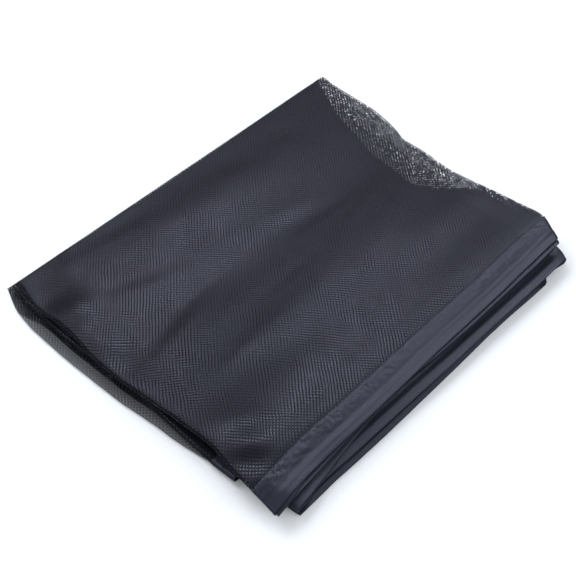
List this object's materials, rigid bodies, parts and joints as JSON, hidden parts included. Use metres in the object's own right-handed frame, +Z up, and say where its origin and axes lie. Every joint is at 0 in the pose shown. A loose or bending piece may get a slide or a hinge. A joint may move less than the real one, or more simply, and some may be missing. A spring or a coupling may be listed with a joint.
{
  "type": "folded door mosquito net",
  "caption": "Leaf of a door mosquito net in dark mesh with satin-bound long edges, doubled across its width and folded back and forth into a flat packet.",
  "frame": {"origin": "middle of the packet's outline, on the surface it lies on", "axes": "+X along the bound edges, +Y from the bound edges towards the crease, +Z up"},
  "size_m": [0.3131, 0.2721, 0.0228],
  "materials": {
    "net_mesh": "dull knitted mesh, see-through in one or two layers",
    "satin_binding": "soft satin sheen"
  },
  "bodies": {
    "root": {"net": "net_mesh", "binding_upper": "satin_binding", "binding_lower": "satin_binding"}
  },
  "joints": []
}
